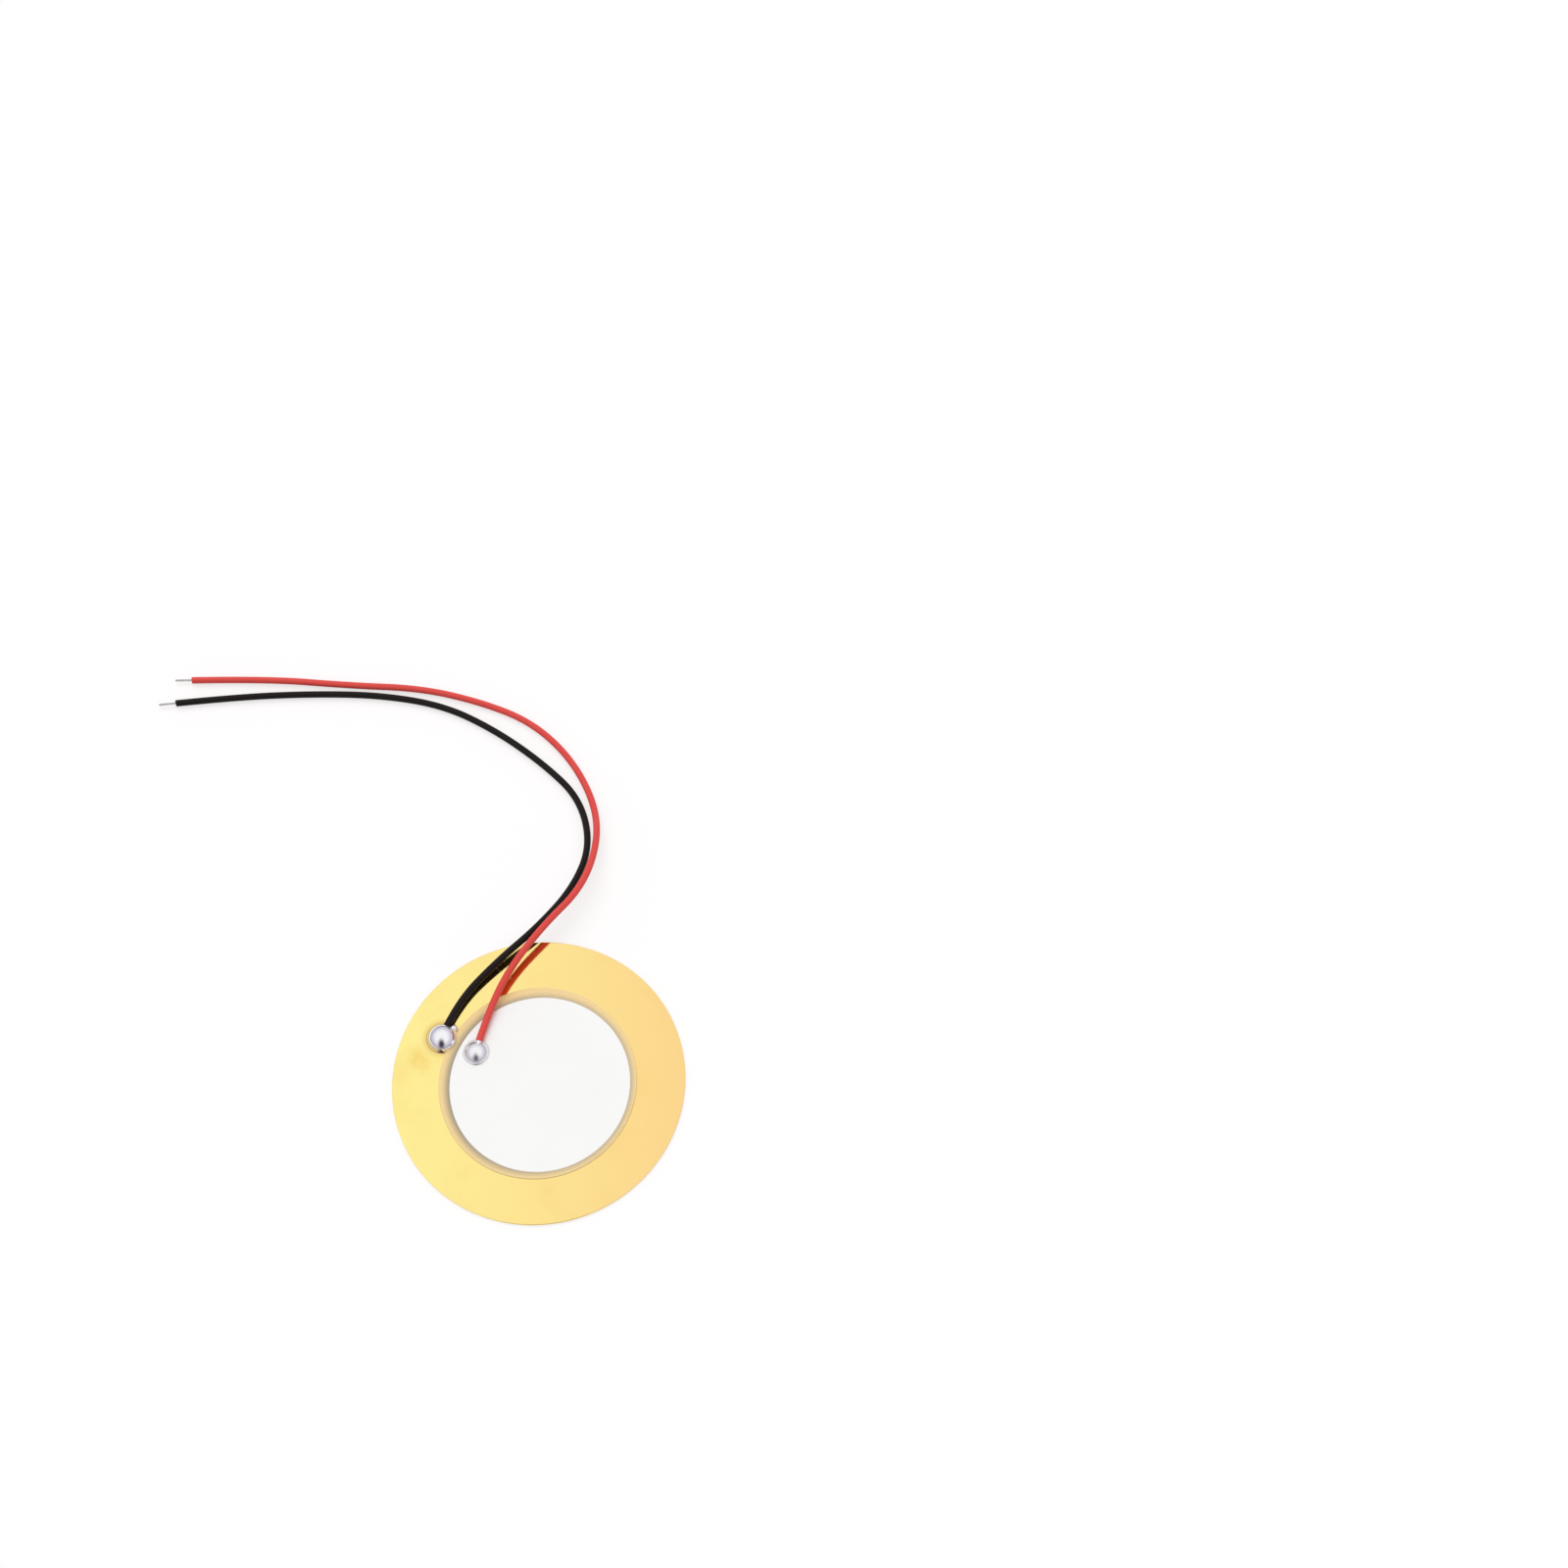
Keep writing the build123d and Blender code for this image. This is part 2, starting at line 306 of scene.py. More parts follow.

# %% [markdown]
# ## The leads' paths
# Both leads are free cords of a fixed length, and the photograph shows them from end to end. The number of
# ring centres along each jacket is printed.

print("two cords declared,", len(black_path), "and", len(red_path), "ring centres")

# %% [markdown]
# ## A few tools for finishes
# Colours are written as sRGB hex values, as a colour picker shows them, and shaders want linear light, so
# one function converts them. Another adds a node with its settings and links. The third starts a material
# with the place on the object in millimetres, so that every pattern's size below can be read with a ruler
# in mind. The last reads a solid's middle and half size, so that a finish finds the edge of its own piece.

# %% Colours, nodes and materials
COLOUR_MIX = {"data_type": "RGBA"}  # inputs 6 and 7 are its colours, and output 2 is the mixed one
SOFT_STEP = {"interpolation_type": "SMOOTHSTEP"}
CENTRED = {"vector_type": "TEXTURE"}  # takes the location away, turns back and divides by the scale
TIMES, PLUS, SCALED = {"operation": "MULTIPLY"}, {"operation": "ADD"}, {"operation": "SCALE"}
LENGTH, DISTANCE = {"operation": "LENGTH"}, {"operation": "DISTANCE"}


def linear(colour):
    """Linear RGBA of an sRGB hex colour: below 0.04045 a straight line, above it a power of 2.4."""
    srgb = np.array([int(colour[i:i + 2], 16) for i in (1, 3, 5)]) / 255
    light = np.where(srgb <= 0.04045, srgb / 12.92, ((srgb + 0.055) / 1.055) ** 2.4)
    return (*light.tolist(), 1.0)


def add_node(tree, kind, settings=(), **inputs):
    """Adds a node of that kind. Settings are its properties. Inputs are values, or outputs to link.

    A socket is named with underscores for spaces, or numbered after an underscore where names repeat.
    """
    node = tree.nodes.new(kind)
    for key, value in dict(settings).items():
        setattr(node, key, value)
    for key, value in inputs.items():
        socket = node.inputs[int(key[1:])] if key[0] == "_" else node.inputs[key.replace("_", " ")]
        if isinstance(value, bpy.types.NodeSocket):
            tree.links.new(value, socket)
        else:
            socket.default_value = value
    return node


def start_material(name):
    """An empty material, its node tree, and the place on the object in millimetres as an output in it."""
    material = bpy.data.materials.new(name)
    material.use_nodes = True
    tree = material.node_tree
    tree.nodes.clear()
    metres = add_node(tree, "ShaderNodeTexCoord").outputs["Object"]
    place = add_node(tree, "ShaderNodeVectorMath", SCALED, Vector=metres, Scale=1 / MM)
    return material, tree, place.outputs[0]


def dress(material, *pieces):
    """Puts a material in the first slot of each piece."""
    for piece in pieces:
        if not piece.material_slots:
            piece.data.materials.append(material)
        piece.material_slots[0].material = material
    print(material.name, "on", ", ".join(piece.name for piece in pieces))


def middle_and_half(node):
    """Middle and half size of a CAD node's box in millimetres, from its lowest and highest corners."""
    corners = np.array(node.bound_box) / MM
    low, high = corners.min(axis=0), corners.max(axis=0)
    return (low + high) / 2, (high - low) / 2


print("half size of the brass in mm", middle_and_half(nodes["brass_diaphragm"])[1].round(3))

# %% [markdown]
# ## Brass: tone and stain
# The disc is punched from strip that was rolled between polished rolls, so it is nearly a mirror. A flat
# yellow would look like paint. Real strip changes tone slowly across a part, and handling leaves soft
# clouds of tarnish. The hot joint leaves a brown ring of burnt flux round itself and a stain where the
# flux ran. All of it is colour that follows the distance from a place on the disc, broken up by noise.

# %% Brass colour
brass_middle, brass_half = middle_and_half(nodes["brass_diaphragm"])
BRASS_RADIUS, BRASS_TOP = brass_half[0], brass_middle[2] + brass_half[2]  # mm
CLOUD_SIZE = 7.0  # mm across a cloud of tarnish
FLECK_SIZE = 0.9  # mm across a fleck in the stain
BLACK_JOINT = (*BLACK_ROUTE[0, :2] / MM, BRASS_TOP)  # mm, the middle of the joint's foot
BURNT_OUTER, BURNT_INNER = 2.7, 1.8  # mm from that middle
STAIN_PLACE, STAIN_REACH = (-14.5, 2.5, BRASS_TOP), (2.6, 1.7, 50.0)  # mm, and as good as endless upwards
STAIN_TURN = math.radians(-55)

# Rolled brass gives the eye a warm mirror, lemon on one side and peach on the other, with dull clouds
brass, tree, place = start_material("polished rolled brass")
sides = add_node(tree, "ShaderNodeSeparateXYZ", Vector=place).outputs
across = add_node(tree, "ShaderNodeMapRange", Value=sides["X"], From_Min=-BRASS_RADIUS,
                  From_Max=BRASS_RADIUS)
tone = add_node(tree, "ShaderNodeMix", COLOUR_MIX, _0=across.outputs[0], _6=linear("#fff098"),
                _7=linear("#fcd68e"))
clouds = add_node(tree, "ShaderNodeTexNoise", Vector=place, Scale=1 / CLOUD_SIZE, Detail=3.0)
cloudy = add_node(tree, "ShaderNodeMapRange", SOFT_STEP, Value=clouds.outputs[0], From_Min=0.45,
                  From_Max=0.8, To_Max=0.4)
tone = add_node(tree, "ShaderNodeMix", COLOUR_MIX, _0=cloudy.outputs[0], _6=tone.outputs[2],
                _7=linear("#f6cf7c"))
flecks = add_node(tree, "ShaderNodeTexNoise", Vector=place, Scale=1 / FLECK_SIZE, Detail=2.0)
run_out = add_node(tree, "ShaderNodeMapping", CENTRED, Vector=place, Location=STAIN_PLACE,
                   Rotation=(0, 0, STAIN_TURN), Scale=STAIN_REACH)
run_out = add_node(tree, "ShaderNodeVectorMath", LENGTH, Vector=run_out.outputs[0])
stain = add_node(tree, "ShaderNodeMapRange", SOFT_STEP, Value=run_out.outputs["Value"], From_Min=1.0,
                 From_Max=0.2, To_Max=0.7)
stain = add_node(tree, "ShaderNodeMath", TIMES, _0=stain.outputs[0], _1=flecks.outputs[0])
tone = add_node(tree, "ShaderNodeMix", COLOUR_MIX, _0=stain.outputs[0], _6=tone.outputs[2],
                _7=linear("#f3c255"))
from_joint = add_node(tree, "ShaderNodeVectorMath", DISTANCE, _0=place, _1=BLACK_JOINT)
burnt = add_node(tree, "ShaderNodeMapRange", SOFT_STEP, Value=from_joint.outputs["Value"],
                 From_Min=BURNT_OUTER, From_Max=BURNT_INNER, To_Max=0.5)
brass_colour = add_node(tree, "ShaderNodeMix", COLOUR_MIX, _0=burnt.outputs[0], _6=tone.outputs[2],
                        _7=linear("#e2b263"))
print("brass colour from", len(tree.nodes), "nodes")

# %% [markdown]
# ## Brass: polish, lines and edge
# What makes a mirror look like metal is that it isn't perfect. Rolling leaves lines along the strip, and
# handling leaves a few hairlines. Both scatter the light a little, so they go into the roughness. The
# sheet is also never quite flat, and a very low bump makes the leads' mirror images waver. At the rim the
# shear broke the metal, and that wall is dull.

# %% Brass polish
ROLL_LINE, ROLL_LENGTH = 0.3, 14.0  # mm; real lines are finer than a hundredth, drawn coarser to show
HAIRLINE, HAIRLINE_LENGTH = 0.12, 9.0  # mm; also coarser than real
ROLL_TURN, HAIRLINE_TURN = math.radians(12), math.radians(-38)
WAVE_SIZE, WAVE_HEIGHT = 3.5, 0.0016  # mm
SHEARED_FROM, SHEARED_TO = BRASS_RADIUS - 0.08, BRASS_RADIUS - 0.01  # mm from the middle
LEVEL = (1.0, 1.0, 0.0)  # keeps only the level part of a place

rolled = add_node(tree, "ShaderNodeMapping", CENTRED, Vector=place, Rotation=(0, 0, ROLL_TURN),
                  Scale=(ROLL_LENGTH, ROLL_LINE, 1.0))
lines = add_node(tree, "ShaderNodeTexNoise", Vector=rolled.outputs[0], Scale=1.0, Detail=2.0)
polish = add_node(tree, "ShaderNodeMapRange", Value=lines.outputs[0], From_Min=0.3, From_Max=0.7,
                  To_Min=0.05, To_Max=0.11)
scratched = add_node(tree, "ShaderNodeMapping", CENTRED, Vector=place,
                     Rotation=(0, 0, HAIRLINE_TURN), Scale=(HAIRLINE_LENGTH, HAIRLINE, 1.0))
hairlines = add_node(tree, "ShaderNodeTexNoise", Vector=scratched.outputs[0], Scale=1.0, Detail=0.0)
hairlines = add_node(tree, "ShaderNodeMapRange", Value=hairlines.outputs[0], From_Min=0.72, From_Max=0.80,
                     To_Max=0.12)
level_place = add_node(tree, "ShaderNodeVectorMath", TIMES, _0=place, _1=LEVEL)
from_middle = add_node(tree, "ShaderNodeVectorMath", LENGTH, Vector=level_place.outputs[0])
sheared = add_node(tree, "ShaderNodeMapRange", Value=from_middle.outputs["Value"], From_Min=SHEARED_FROM,
                   From_Max=SHEARED_TO, To_Max=0.22)
rough = add_node(tree, "ShaderNodeMath", PLUS, _0=polish.outputs[0], _1=hairlines.outputs[0])
rough = add_node(tree, "ShaderNodeMath", PLUS, _0=rough.outputs[0], _1=sheared.outputs[0])
waves = add_node(tree, "ShaderNodeTexNoise", Vector=place, Scale=1 / WAVE_SIZE, Detail=1.0)
waver = add_node(tree, "ShaderNodeBump", Height=waves.outputs[0], Strength=1.0, Distance=WAVE_HEIGHT * MM)
shader = add_node(tree, "ShaderNodeBsdfPrincipled", Metallic=1.0, Base_Color=brass_colour.outputs[2],
                  Roughness=rough.outputs[0], Normal=waver.outputs[0])
add_node(tree, "ShaderNodeOutputMaterial", Surface=shader.outputs[0])
dress(brass, nodes["brass_diaphragm"])

# %% [markdown]
# ## Fired silver
# The white disc is silver paste, printed through a mesh and fired onto the wafer. It is metal, but a
# grainy one: the light that falls on it comes back spread out, so it looks white like paper with a soft
# sheen. The paste thins out at the edge of the print, and a little of the grey ceramic shows through
# there.

# %% Silver
silver_middle, silver_half = middle_and_half(nodes["upper_electrode"])
SILVER_RADIUS, SILVER_TOP = silver_half[0], silver_middle[2] + silver_half[2]  # mm
PASTE_GRAIN, GRAIN_HEIGHT = 0.35, 0.004  # mm; real grains are a few hundredths, drawn coarser to show
PRINT_CLOUD = 5.0  # mm
THIN_EDGE = 0.07  # mm
METAL_SHARE = 0.4  # grains at all angles send the rest back spread out, as a matt surface does

# Fired silver paste gives the eye a satin white with the faintest cloudiness
silver, tree, place = start_material("fired silver paste")
from_middle = add_node(tree, "ShaderNodeVectorMath", DISTANCE, _0=place, _1=silver_middle)
thin = add_node(tree, "ShaderNodeMapRange", SOFT_STEP, Value=from_middle.outputs["Value"],
                From_Min=SILVER_RADIUS - THIN_EDGE, From_Max=SILVER_RADIUS, To_Max=0.6)
clouds = add_node(tree, "ShaderNodeTexNoise", Vector=place, Scale=1 / PRINT_CLOUD, Detail=4.0)
paste = add_node(tree, "ShaderNodeMix", COLOUR_MIX, _0=clouds.outputs[0], _6=linear("#fefefd"),
                 _7=linear("#fafaf8"))
paste = add_node(tree, "ShaderNodeMix", COLOUR_MIX, _0=thin.outputs[0], _6=paste.outputs[2],
                 _7=linear("#cfc8bd"))
grains = add_node(tree, "ShaderNodeTexNoise", Vector=place, Scale=1 / PASTE_GRAIN, Detail=2.0)
satin = add_node(tree, "ShaderNodeMapRange", Value=grains.outputs[0], From_Min=0.3, From_Max=0.7,
                 To_Min=0.36, To_Max=0.46)
grainy = add_node(tree, "ShaderNodeBump", Height=grains.outputs[0], Strength=1.0,
                  Distance=GRAIN_HEIGHT * MM)
shader = add_node(tree, "ShaderNodeBsdfPrincipled", Metallic=METAL_SHARE, Base_Color=paste.outputs[2],
                  Roughness=satin.outputs[0], Normal=grainy.outputs[0])
add_node(tree, "ShaderNodeOutputMaterial", Surface=shader.outputs[0])
dress(silver, nodes["upper_electrode"], nodes["lower_electrode"])

# %% [markdown]
# ## Piezo ceramic
# Between the silver and the brass a narrow ring of bare wafer shows. The ceramic is a fine, dense,
# tan-grey stone, lapped flat with grit. Near the wafer's rim its colour is tan, and towards the silver it
# is greyer, most of all on one side. So its colour is worked out from how far it lies from the edge of the
# silver.

# %% Ceramic
wafer_middle, wafer_half = middle_and_half(nodes["piezo_ceramic"])
WAFER_RADIUS = wafer_half[0]  # mm
GREY_LEAST, GREY_MOST = 0.80, 1.1  # mm that the grey reaches out from the silver's edge, on its two sides
GREY_START = 0.1  # mm inside the silver's edge, where the grey is full
GREY_SIDE_FROM, GREY_SIDE_TO = 3.0, -11.0  # mm along X, from the less grey side to the greyer one
# width of the painted light that makes the wafer's outer wall paler against its shade
LIT_WALL_WIDTH = 0.04  # mm
LAPPED_GRIT, GRIT_HEIGHT = 0.2, 0.003  # mm; real grit is a hundredth as wide, drawn coarser to show

# Lapped ceramic gives the eye a matt stone with a fine speckle, and painted light makes its outer wall
# paler
ceramic, tree, place = start_material("lapped piezo ceramic")
from_middle = add_node(tree, "ShaderNodeVectorMath", DISTANCE, _0=place, _1=silver_middle)
sides = add_node(tree, "ShaderNodeSeparateXYZ", Vector=place).outputs
one_side = add_node(tree, "ShaderNodeMapRange", SOFT_STEP, Value=sides["X"], From_Min=GREY_SIDE_FROM,
                    From_Max=GREY_SIDE_TO)
grey_end = add_node(tree, "ShaderNodeMapRange", Value=one_side.outputs[0],
                    To_Min=SILVER_RADIUS + GREY_LEAST, To_Max=SILVER_RADIUS + GREY_MOST)
near_silver = add_node(tree, "ShaderNodeMapRange", SOFT_STEP, Value=from_middle.outputs["Value"],
                       From_Min=grey_end.outputs[0], From_Max=SILVER_RADIUS - GREY_START)
grey = add_node(tree, "ShaderNodeMix", COLOUR_MIX, _0=one_side.outputs[0], _6=linear("#ccb998"),
                _7=linear("#a59884"))
stone = add_node(tree, "ShaderNodeMix", COLOUR_MIX, _0=near_silver.outputs[0], _6=linear("#fbdc9c"),
                 _7=grey.outputs[2])
from_axis = add_node(tree, "ShaderNodeVectorMath", DISTANCE, _0=place, _1=wafer_middle)
# Painted light: the wafer's outer wall is made paler, to lift the shade that falls on it there
painted_light_on_wall = add_node(tree, "ShaderNodeMapRange", Value=from_axis.outputs["Value"],
                    From_Min=WAFER_RADIUS - LIT_WALL_WIDTH, From_Max=WAFER_RADIUS)
stone = add_node(tree, "ShaderNodeMix", COLOUR_MIX, _0=painted_light_on_wall.outputs[0], _6=stone.outputs[2],
                 _7=linear("#fff4d2"))
grit = add_node(tree, "ShaderNodeTexNoise", Vector=place, Scale=1 / LAPPED_GRIT, Detail=2.0)
speckle = add_node(tree, "ShaderNodeMapRange", Value=grit.outputs[0], From_Min=0.35, From_Max=0.75,
                   To_Max=0.12)
stone = add_node(tree, "ShaderNodeMix", COLOUR_MIX, _0=speckle.outputs[0], _6=stone.outputs[2],
                 _7=linear("#a89069"))
matt = add_node(tree, "ShaderNodeMapRange", Value=grit.outputs[0], To_Min=0.5, To_Max=0.7)
lapped = add_node(tree, "ShaderNodeBump", Height=grit.outputs[0], Strength=1.0, Distance=GRIT_HEIGHT * MM)
shader = add_node(tree, "ShaderNodeBsdfPrincipled", Base_Color=stone.outputs[2], Roughness=matt.outputs[0],
                  IOR=1.6, Normal=lapped.outputs[0])
add_node(tree, "ShaderNodeOutputMaterial", Surface=shader.outputs[0])
dress(ceramic, nodes["piezo_ceramic"])

# %% [markdown]
# ## Epoxy
# The wafer is bonded with a film of amber epoxy as thin as a hair. Only the little that was squeezed out
# round the wafer can be seen. Cured epoxy is glossy and clear, but over brass and this thin, an amber skin
# does the same as true glass.

# %% Epoxy
CURE_CLOUD = 1.5  # mm

# Cured epoxy gives the eye a glossy amber line, darker where it pooled
epoxy, tree, place = start_material("cured amber epoxy")
pools = add_node(tree, "ShaderNodeTexNoise", Vector=place, Scale=1 / CURE_CLOUD, Detail=2.0)
amber = add_node(tree, "ShaderNodeMix", COLOUR_MIX, _0=pools.outputs[0], _6=linear("#f6d994"),
                 _7=linear("#dfb96e"))
gloss = add_node(tree, "ShaderNodeMapRange", Value=pools.outputs[0], To_Min=0.15, To_Max=0.35)
shader = add_node(tree, "ShaderNodeBsdfPrincipled", Base_Color=amber.outputs[2],
                  Roughness=gloss.outputs[0], IOR=1.55)
add_node(tree, "ShaderNodeOutputMaterial", Surface=shader.outputs[0])
dress(epoxy, nodes["bond_layer"])

# %% [markdown]
# ## Solder
# Each joint froze from a liquid drop, so it is as smooth as a drop and mirrors the whole room in its dome.
# As it froze it shrank a little and wrinkled. Just above its foot lies a band of another colour, brownish
# on the brass and pale grey on the silver. The drop on the brass took more heat and is brighter. The one
# on the silver is duller. One function makes both finishes, because only the place of the foot and the
# polish differ.

# %% Solder
DIMPLE_SIZE, DIMPLE_DEPTH = 0.7, 0.014  # mm
FOOT_LINE = 0.12  # mm above the metal


def make_solder(name, foot_level, foot_colour, smoothest, roughest):
    """Solder: a tin mirror with shallow dimples, and a band of the given foot colour just above the level
    of its foot.
    """
    material, tree, place = start_material(name)
    height = add_node(tree, "ShaderNodeSeparateXYZ", Vector=place).outputs["Z"]
    foot_band = add_node(tree, "ShaderNodeMapRange", SOFT_STEP, Value=height, From_Min=foot_level + FOOT_LINE,
                    From_Max=foot_level, To_Max=0.8)
    tin = add_node(tree, "ShaderNodeMix", COLOUR_MIX, _0=foot_band.outputs[0], _6=linear("#f4f3f6"),
                   _7=linear(foot_colour))
    dimples = add_node(tree, "ShaderNodeTexNoise", Vector=place, Scale=1 / DIMPLE_SIZE, Detail=2.0)
    polish = add_node(tree, "ShaderNodeMapRange", Value=dimples.outputs[0], From_Min=0.3, From_Max=0.7,
                      To_Min=smoothest, To_Max=roughest)
    wrinkled = add_node(tree, "ShaderNodeBump", Height=dimples.outputs[0], Strength=1.0,
                        Distance=DIMPLE_DEPTH * MM)
    shader = add_node(tree, "ShaderNodeBsdfPrincipled", Metallic=1.0, Base_Color=tin.outputs[2],
                      Roughness=polish.outputs[0], Normal=wrinkled.outputs[0])
    add_node(tree, "ShaderNodeOutputMaterial", Surface=shader.outputs[0])
    return material


# Bright solder gives the eye a small mirror ball, and the duller one gives it a softer and whiter ball
bright_solder = make_solder("bright solder on brass", BRASS_TOP, "#d9b06e", 0.04, 0.10)
duller_solder = make_solder("duller solder on silver", SILVER_TOP, "#eceae8", 0.22, 0.30)
dress(bright_solder, nodes["black_solder_joint"])
dress(duller_solder, nodes["red_solder_joint"])

# %% [markdown]
# ## PVC
# Soft PVC comes out of the die with fine lines along the wire and leaves the puller with a satin gloss.
# The lines have to follow the wire round its bends, so this finish reads the pulled-out place that each
# jacket keeps, not the place on the table. The two colours share the surface: the pigment is what changes.

# %% PVC
DIE_LINE, DIE_LINE_LENGTH = 0.12, 30.0  # mm; real lines are a few hundredths apart, drawn coarser to show
DIE_LINE_HEIGHT = 0.004  # mm
PIGMENT_CLOUD = 4.0  # mm


def make_pvc(name, pigment, faded, specular):
    """Extruded PVC: a pigment that fades a little in patches, satin gloss, low lines along the wire."""
    material, tree, _ = start_material(name)
    metres = add_node(tree, "ShaderNodeAttribute", {"attribute_name": "straight"}).outputs["Vector"]
    along = add_node(tree, "ShaderNodeVectorMath", SCALED, Vector=metres, Scale=1 / MM).outputs[0]
    patches = add_node(tree, "ShaderNodeTexNoise", Vector=along, Scale=1 / PIGMENT_CLOUD, Detail=3.0)
    colour = add_node(tree, "ShaderNodeMix", COLOUR_MIX, _0=patches.outputs[0], _6=linear(pigment),
                      _7=linear(faded))
    drawn = add_node(tree, "ShaderNodeMapping", CENTRED, Vector=along,
                     Scale=(DIE_LINE, DIE_LINE, DIE_LINE_LENGTH))
    lines = add_node(tree, "ShaderNodeTexNoise", Vector=drawn.outputs[0], Scale=1.0, Detail=1.0)
    satin = add_node(tree, "ShaderNodeMapRange", Value=lines.outputs[0], From_Min=0.3, From_Max=0.7,
                     To_Min=0.34, To_Max=0.5)
    lined = add_node(tree, "ShaderNodeBump", Height=lines.outputs[0], Strength=1.0,
                     Distance=DIE_LINE_HEIGHT * MM)
    shader = add_node(tree, "ShaderNodeBsdfPrincipled", Base_Color=colour.outputs[2],
                      Roughness=satin.outputs[0], IOR=1.53, Specular_IOR_Level=specular,
                      Normal=lined.outputs[0])
    add_node(tree, "ShaderNodeOutputMaterial", Surface=shader.outputs[0])
    return material


# Extruded PVC gives the eye an even colour with a soft line of light along the wire
dress(make_pvc("black extruded PVC", "#16110f", "#211a18", 0.13), black_jacket)
dress(make_pvc("red extruded PVC", "#de403b", "#e4524b", 0.3), red_jacket)

# %% [markdown]
# ## Tinned copper
# Each strand was drawn through a die and dipped in tin. Tin dulls in the air, so the strands are pale grey
# with a soft shine, and a little warm copper shows where the tin is thin.

# %% Tinned copper
TIN_CLOUD = 0.5  # mm

# Tinned copper gives the eye pale grey wire with a soft glint along each strand
tinned, tree, place = start_material("tinned copper strand")
thinness = add_node(tree, "ShaderNodeTexNoise", Vector=place, Scale=1 / TIN_CLOUD, Detail=3.0)
bare = add_node(tree, "ShaderNodeMapRange", SOFT_STEP, Value=thinness.outputs[0], From_Min=0.6,
                From_Max=0.8, To_Max=0.35)
skin = add_node(tree, "ShaderNodeMix", COLOUR_MIX, _0=bare.outputs[0], _6=linear("#dcdbd9"),
                _7=linear("#c99a78"))
dull = add_node(tree, "ShaderNodeMapRange", Value=thinness.outputs[0], To_Min=0.2, To_Max=0.38)
shader = add_node(tree, "ShaderNodeBsdfPrincipled", Metallic=1.0, Base_Color=skin.outputs[2],
                  Roughness=dull.outputs[0])
add_node(tree, "ShaderNodeOutputMaterial", Surface=shader.outputs[0])
dress(tinned, black_strands, red_strands)

# %% [markdown]
# ## The sheet it lies on
# The element lies on a plain white sheet. What the camera sees of it, directly or in a mirror, is lifted
# to white with some emission, and the diffuse part that is left keeps the object's soft shadow. Light that
# bounces off it sees an ordinary white paper, so the object isn't lit from below by a glowing floor.

# %% Floor
FLOOR_HALF = 1.5  # metres
FLOOR_LEVEL = -0.01 * MM
PAPER_GLOW = 0.65  # with the diffuse part it comes to white
WHITE = linear("#ffffff")

corners = FLOOR_HALF * np.array([(-1, -1, 0), (1, -1, 0), (1, 1, 0), (-1, 1, 0)]) + FLOOR_LEVEL * UP
floor_mesh = bpy.data.meshes.new("floor")
floor_mesh.from_pydata(corners, [], [(0, 1, 2, 3)])
floor = bpy.data.objects.new("floor", floor_mesh)
bpy.context.scene.collection.objects.link(floor)

# White paper gives the eye an even ground that keeps the soft shadow
sheet, tree, _ = start_material("white paper sheet")
ray = add_node(tree, "ShaderNodeLightPath").outputs
mirrored = add_node(tree, "ShaderNodeMath", PLUS, _0=ray["Is Glossy Ray"], _1=ray["Is Transmission Ray"])
seen = add_node(tree, "ShaderNodeMath", {"operation": "ADD", "use_clamp": True}, _0=mirrored.outputs[0],
                _1=ray["Is Camera Ray"])
plain = add_node(tree, "ShaderNodeBsdfDiffuse", Color=linear("#e7e7e7"))
shaded = add_node(tree, "ShaderNodeBsdfDiffuse", Color=linear("#a6a2a2"))
glow = add_node(tree, "ShaderNodeEmission", Color=WHITE, Strength=PAPER_GLOW)
lifted = add_node(tree, "ShaderNodeAddShader", _0=shaded.outputs[0], _1=glow.outputs[0])
paper = add_node(tree, "ShaderNodeMixShader", _0=seen.outputs[0], _1=plain.outputs[0],
                 _2=lifted.outputs[0])
add_node(tree, "ShaderNodeOutputMaterial", Surface=paper.outputs[0])
dress(sheet, floor)

# %% [markdown]
# ## The room
# Polished metal has no look of its own: it shows the room. Here that is a white studio, a little greyer
# low down, with one dark opening in front, as every drop of solder shows the dark place where the camera
# stands. The mirrors get this room, the camera gets plain white behind the sheet, and everything matt gets
# an even light from all round.

# %% Room
FILL = 0.74  # light from all round on what is matt
WALL_TOP, CEILING_TOP = 0.25, 0.85  # the upward part of a direction
OPENING_MIDDLE, OPENING_REACH = (-0.02, -0.84, 0.58), (0.55, 1.1, 0.80)  # as directions

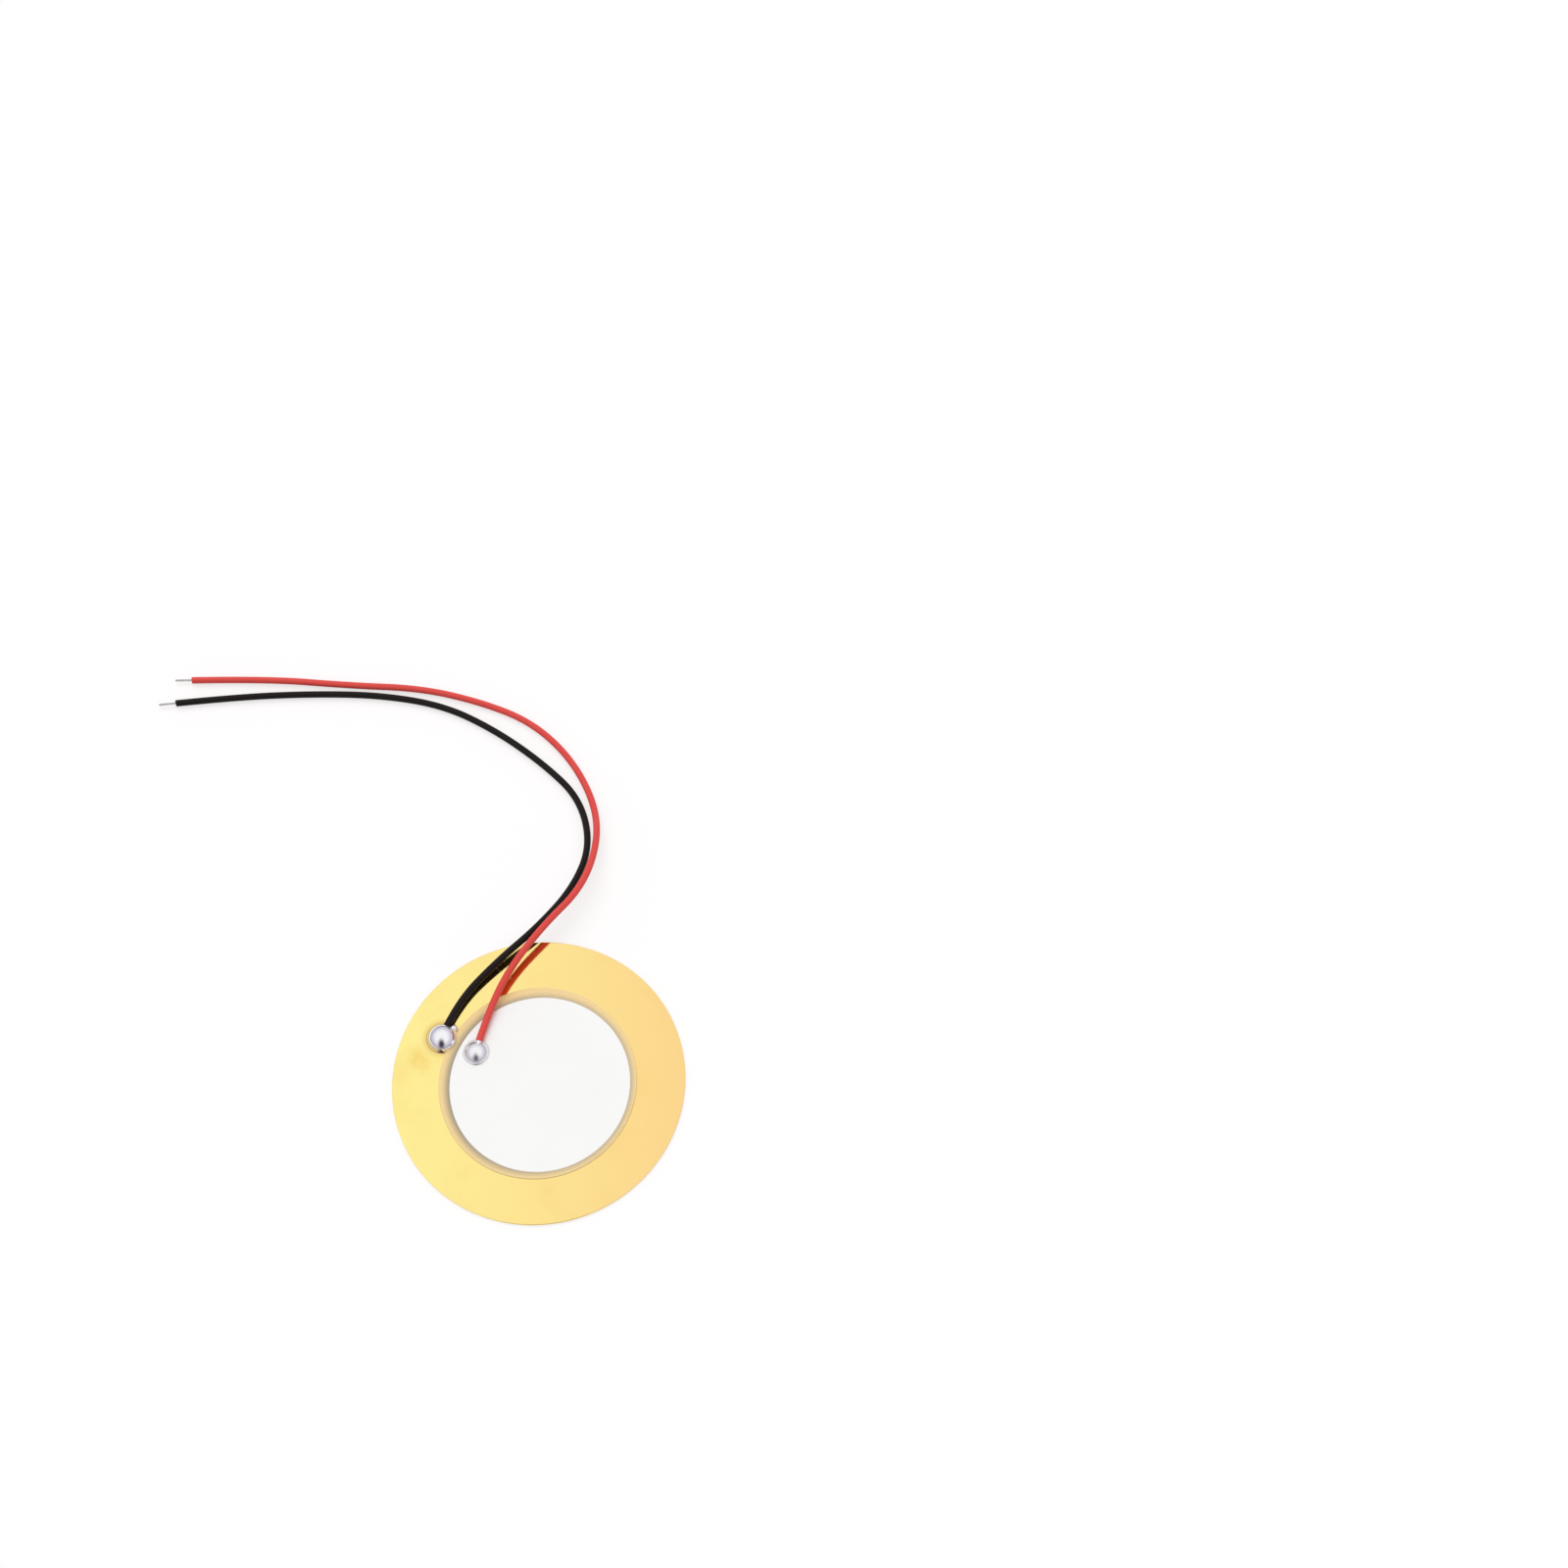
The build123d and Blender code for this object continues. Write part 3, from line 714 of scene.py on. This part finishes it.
world = bpy.data.worlds.new("studio")
bpy.context.scene.world = world
world.use_nodes = True
tree = world.node_tree
tree.nodes.clear()
way = add_node(tree, "ShaderNodeTexCoord").outputs["Generated"]
height = add_node(tree, "ShaderNodeSeparateXYZ", Vector=way).outputs["Z"]
low = add_node(tree, "ShaderNodeMapRange", SOFT_STEP, Value=height, From_Min=0.0, From_Max=WALL_TOP)
walls = add_node(tree, "ShaderNodeMix", COLOUR_MIX, _0=low.outputs[0], _6=linear("#857e88"),
                 _7=linear("#d2cdd9"))
ceiling = add_node(tree, "ShaderNodeMapRange", SOFT_STEP, Value=height, From_Min=WALL_TOP,
                   From_Max=CEILING_TOP)
walls = add_node(tree, "ShaderNodeMix", COLOUR_MIX, _0=ceiling.outputs[0], _6=walls.outputs[2], _7=WHITE)
off_middle = add_node(tree, "ShaderNodeMapping", CENTRED, Vector=way, Location=OPENING_MIDDLE,
                      Scale=OPENING_REACH)
off_middle = add_node(tree, "ShaderNodeVectorMath", LENGTH, Vector=off_middle.outputs[0])
opening = add_node(tree, "ShaderNodeMapRange", SOFT_STEP, Value=off_middle.outputs["Value"], From_Min=1.0,
                   From_Max=0.25)
room = add_node(tree, "ShaderNodeMix", COLOUR_MIX, _0=opening.outputs[0], _6=walls.outputs[2],
                _7=linear("#473d4b"))
ray = add_node(tree, "ShaderNodeLightPath").outputs
mirrored = add_node(tree, "ShaderNodeMath", PLUS, _0=ray["Is Glossy Ray"], _1=ray["Is Transmission Ray"])
even = (FILL, FILL, FILL, 1)
light = add_node(tree, "ShaderNodeMix", COLOUR_MIX, _0=mirrored.outputs[0], _6=even, _7=room.outputs[2])
light = add_node(tree, "ShaderNodeMix", COLOUR_MIX, _0=ray["Is Camera Ray"], _6=light.outputs[2], _7=WHITE)
backdrop = add_node(tree, "ShaderNodeBackground", Color=light.outputs[2], Strength=1.0)
add_node(tree, "ShaderNodeOutputWorld", Surface=backdrop.outputs[0])
print("room with a fill of", FILL)

# %% [markdown]
# ## The lamp
# One broad lamp behind and above gives the soft shadow just in front of each lead. The mirrors don't see
# it, because the room already stands for its diffuser. The Standard view transform leaves colours as they
# are written.

# %% Lamp
LAMP_STRENGTH = 0.9  # watts per square metre
LAMP_WIDTH = math.radians(40)  # the angle that it fills, seen from the object
LAMP_TURN = (math.radians(-35), math.radians(-15), 0)

lamp_data = bpy.data.lights.new("soft lamp", "SUN")
lamp_data.energy = LAMP_STRENGTH
lamp_data.angle = LAMP_WIDTH
lamp = bpy.data.objects.new("soft lamp", lamp_data)
lamp.rotation_euler = LAMP_TURN
lamp.visible_glossy = False
bpy.context.scene.collection.objects.link(lamp)
bpy.context.scene.view_settings.view_transform = "Standard"
print("lamp of", LAMP_STRENGTH, "W/m2")
